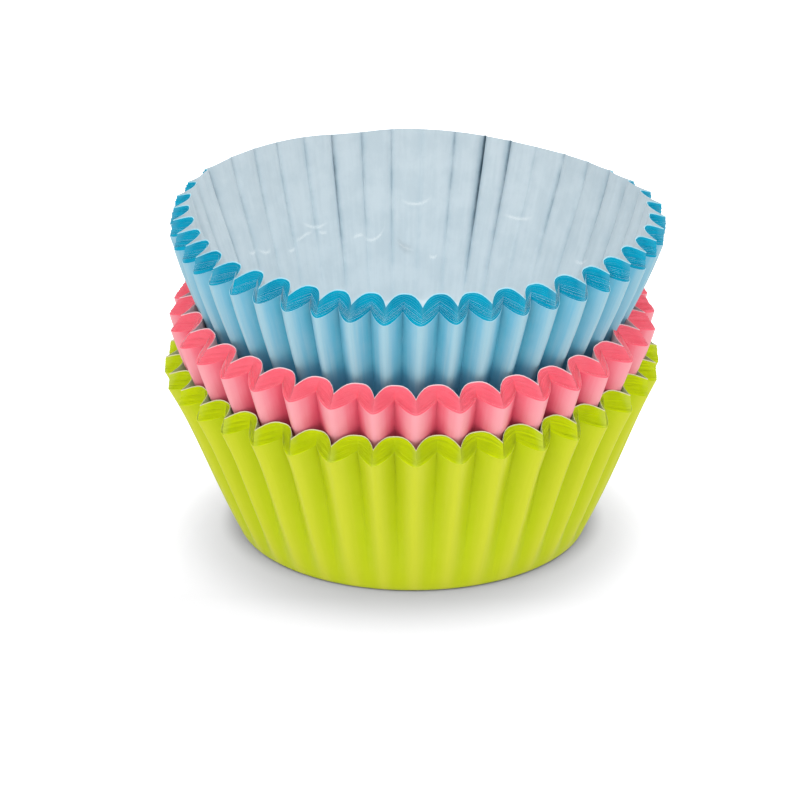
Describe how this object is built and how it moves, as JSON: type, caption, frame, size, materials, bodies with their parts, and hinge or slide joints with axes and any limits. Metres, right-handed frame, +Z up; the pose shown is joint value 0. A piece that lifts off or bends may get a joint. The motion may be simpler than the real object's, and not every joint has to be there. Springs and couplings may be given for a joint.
{
  "type": "stack of cupcake liners",
  "caption": "Stack of pleated paper cupcake liners: nests of lime green, pink and light blue cups, each set in the mouth of the one below, to hold cake batter while it bakes",
  "frame": {"origin": "Centre of the underside of the lowest nest, on the surface it stands on.", "axes": "+Z is up along the common axis of the three nests, +X is to the right and -Y is towards the viewer."},
  "size_m": [0.0744, 0.0744, 0.0507],
  "materials": {
    "green_paper": "smooth lime green greaseproof paper",
    "pink_paper": "smooth pink greaseproof paper",
    "blue_paper": "smooth light blue greaseproof paper"
  },
  "bodies": {
    "root": {"green_liners": "green_paper", "pink_liners": "pink_paper", "blue_liners": "blue_paper"}
  },
  "joints": []
}
